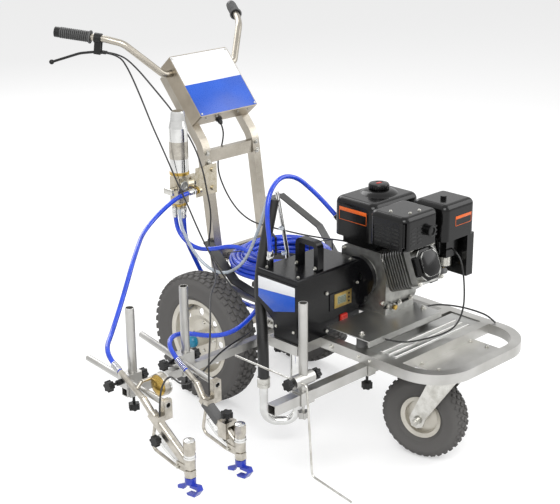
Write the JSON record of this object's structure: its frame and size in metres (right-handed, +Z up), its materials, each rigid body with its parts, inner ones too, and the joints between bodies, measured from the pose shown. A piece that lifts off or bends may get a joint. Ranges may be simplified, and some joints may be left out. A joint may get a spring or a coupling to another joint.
{
  "type": "line striping machine",
  "caption": "Walk-behind airless line striper: three-wheeled cart, petrol engine, pump, hose coil, paint guns on a side bar, front sight.",
  "frame": {"origin": "on the ground, under the middle of the machine's box measured without its hoses and cables", "axes": "+Z up, -Y the way the machine drives, -X the operator's right, where the guns are"},
  "size_m": [1.2401, 1.4801, 1.163],
  "materials": {
    "frame_steel": "smooth satin silver powder coat, lightly weathered edges",
    "column_steel": "satin steel with a warm champagne cast",
    "machine_plate": "satin silver folded sheet",
    "zinc_steel": "bright zinc plated steel",
    "chrome": "polished chrome plate",
    "brass": "machined nickel and brass fittings",
    "aluminium": "cast aluminium with machined faces",
    "dark_steel": "dark grey painted flat bar",
    "tyre_rubber": "black tread rubber",
    "rim_paint": "satin cream silver wheel paint",
    "black_rubber": "matte black rubber",
    "black_plastic": "glossy black moulding",
    "matte_black": "matte black plastic",
    "control_grey": "grey painted sheet box",
    "pump_black": "semi gloss black painted housing",
    "switch_red": "red rocker",
    "guard_blue": "blue moulded tip guard",
    "hose_blue": "glossy blue high pressure hose",
    "hose_clear": "translucent clear tube",
    "hose_black": "black rubber suction hose",
    "cable_black": "black cable sheath",
    "gun_alloy": "cast gun alloy with chrome parts"
  },
  "bodies": {
    "frame": {"chassis_frame": "frame_steel", "machine_plates": "machine_plate", "rubber_mounts": "black_rubber", "handle_column": "column_steel", "braces": "dark_steel", "rear_axle": "zinc_steel", "control_box": "control_grey", "handlebars": "column_steel", "grips": "matte_black", "manifold": "brass", "filter_housing": "chrome", "pump_housing": "pump_black", "pump_cover": "pump_black", "pump_barrel": "chrome", "crankcase": "aluminium", "cylinder_head": "aluminium", "fuel_tank": "black_plastic", "muffler_guard": "black_plastic", "air_filter": "black_plastic", "recoil_starter": "black_plastic", "side_bars": "frame_steel", "frame_knobs": "matte_black", "siphon_tube": "chrome", "hose_coil": "hose_blue", "hose_gun_1": "hose_blue", "hose_gun_2": "hose_blue", "hose_supply": "hose_blue", "hose_pump": "hose_blue", "drain_tube": "hose_clear", "suction_hose": "hose_black", "cable_gun_1": "cable_black", "cable_gun_2": "cable_black", "throttle_cable": "cable_black", "carburetor_cable": "cable_black", "rail_cable": "cable_black"},
    "rear_wheel_right": {"tyre_right": "tyre_rubber", "rim_right": "rim_paint"},
    "rear_wheel_left": {"tyre_left": "tyre_rubber", "rim_left": "rim_paint"},
    "caster_fork": {"caster_fork": "zinc_steel"},
    "caster_wheel": {"caster_tyre": "tyre_rubber", "caster_rim": "rim_paint"},
    "trigger_lever": {"trigger_lever": "zinc_steel"},
    "prime_valve": {"prime_valve": "zinc_steel"},
    "rocker_switch": {"rocker_switch": "switch_red"},
    "fuel_cap": {"fuel_cap": "black_plastic"},
    "gun_arm_1": {"arm_clamp_1": "frame_steel", "arm_knobs_1": "matte_black", "gun_1_body": "gun_alloy", "tip_guard_1": "guard_blue"},
    "gun_trigger_1": {"gun_1_trigger": "zinc_steel"},
    "gun_arm_2": {"arm_clamp_2": "frame_steel", "arm_knobs_2": "matte_black", "gun_2_body": "gun_alloy", "tip_guard_2": "guard_blue"},
    "gun_trigger_2": {"gun_2_trigger": "zinc_steel"},
    "front_carriage": {"front_post": "frame_steel"},
    "pointer_clamp": {"front_clamp": "frame_steel", "front_clamp_knobs": "matte_black"},
    "pointer": {"pointer_wire": "zinc_steel"}
  },
  "joints": [
    {"name": "rear_wheel_right_spin", "type": "hinge", "parent": "frame", "child": "rear_wheel_right", "pos_m": [0.017, 0.218, 0.212], "axis": [1, 0, 0], "continuous": true},
    {"name": "rear_wheel_left_spin", "type": "hinge", "parent": "frame", "child": "rear_wheel_left", "pos_m": [0.449, 0.218, 0.212], "axis": [1, 0, 0], "continuous": true},
    {"name": "caster_swivel", "type": "hinge", "parent": "frame", "child": "caster_fork", "pos_m": [0.233, -0.612, 0.3], "axis": [0, 0, 1], "continuous": true},
    {"name": "caster_wheel_spin", "type": "hinge", "parent": "caster_fork", "child": "caster_wheel", "pos_m": [0.21195, -0.52758, 0.131], "axis": [0.9703, 0.2419, 0], "continuous": true},
    {"name": "trigger_lever_pull", "type": "hinge", "parent": "frame", "child": "trigger_lever", "pos_m": [-0.06203, 0.60198, 1.08803], "axis": [0.8264, 0.5631, 0], "range_deg": [0, 18], "stiffness_Nm_per_rad": 0.6, "springref_deg": -17.19},
    {"name": "gun_1_height", "type": "slide", "parent": "frame", "child": "gun_arm_1", "axis": [0, 0, 1], "range_m": [0, 0.12], "deforming": ["hose_gun_1", "cable_gun_1"]},
    {"name": "gun_2_height", "type": "slide", "parent": "frame", "child": "gun_arm_2", "axis": [0, 0, 1], "range_m": [0, 0.12], "deforming": ["hose_gun_2", "cable_gun_2"]},
    {"name": "gun_1_trigger_pull", "type": "hinge", "parent": "gun_arm_1", "child": "gun_trigger_1", "pos_m": [-0.58, -0.366, 0.209], "axis": [1, 0, 0], "range_deg": [0, 8]},
    {"name": "gun_2_trigger_pull", "type": "hinge", "parent": "gun_arm_2", "child": "gun_trigger_2", "pos_m": [-0.392, -0.353, 0.183], "axis": [1, 0, 0], "range_deg": [0, 8]},
    {"name": "prime_valve_turn", "type": "hinge", "parent": "frame", "child": "prime_valve", "pos_m": [-0.043, 0.298, 0.694], "axis": [-1, 0, 0], "range_deg": [0, 90]},
    {"name": "rocker_switch_tilt", "type": "hinge", "parent": "frame", "child": "rocker_switch", "pos_m": [0.102, -0.298, 0.396], "axis": [1, 0, 0], "range_deg": [0, 9]},
    {"name": "fuel_cap_turn", "type": "hinge", "parent": "frame", "child": "fuel_cap", "pos_m": [0.285, -0.268, 0.758], "axis": [0, 0, 1], "range_deg": [0, 90]},
    {"name": "front_carriage_slide", "type": "slide", "parent": "frame", "child": "front_carriage", "axis": [1, 0, 0], "range_m": [-0.08, 0.15]},
    {"name": "pointer_height", "type": "slide", "parent": "front_carriage", "child": "pointer_clamp", "axis": [0, 0, 1], "range_m": [0, 0.15]},
    {"name": "pointer_swing", "type": "hinge", "parent": "pointer_clamp", "child": "pointer", "pos_m": [-0.259, -0.467, 0.371], "axis": [0, 1, 0], "range_deg": [0, 90]}
  ],
  "couplings": [
    {"joint": "gun_1_trigger_pull", "follows": "trigger_lever_pull", "ratio": 0.44},
    {"joint": "gun_2_trigger_pull", "follows": "trigger_lever_pull", "ratio": 0.44}
  ]
}
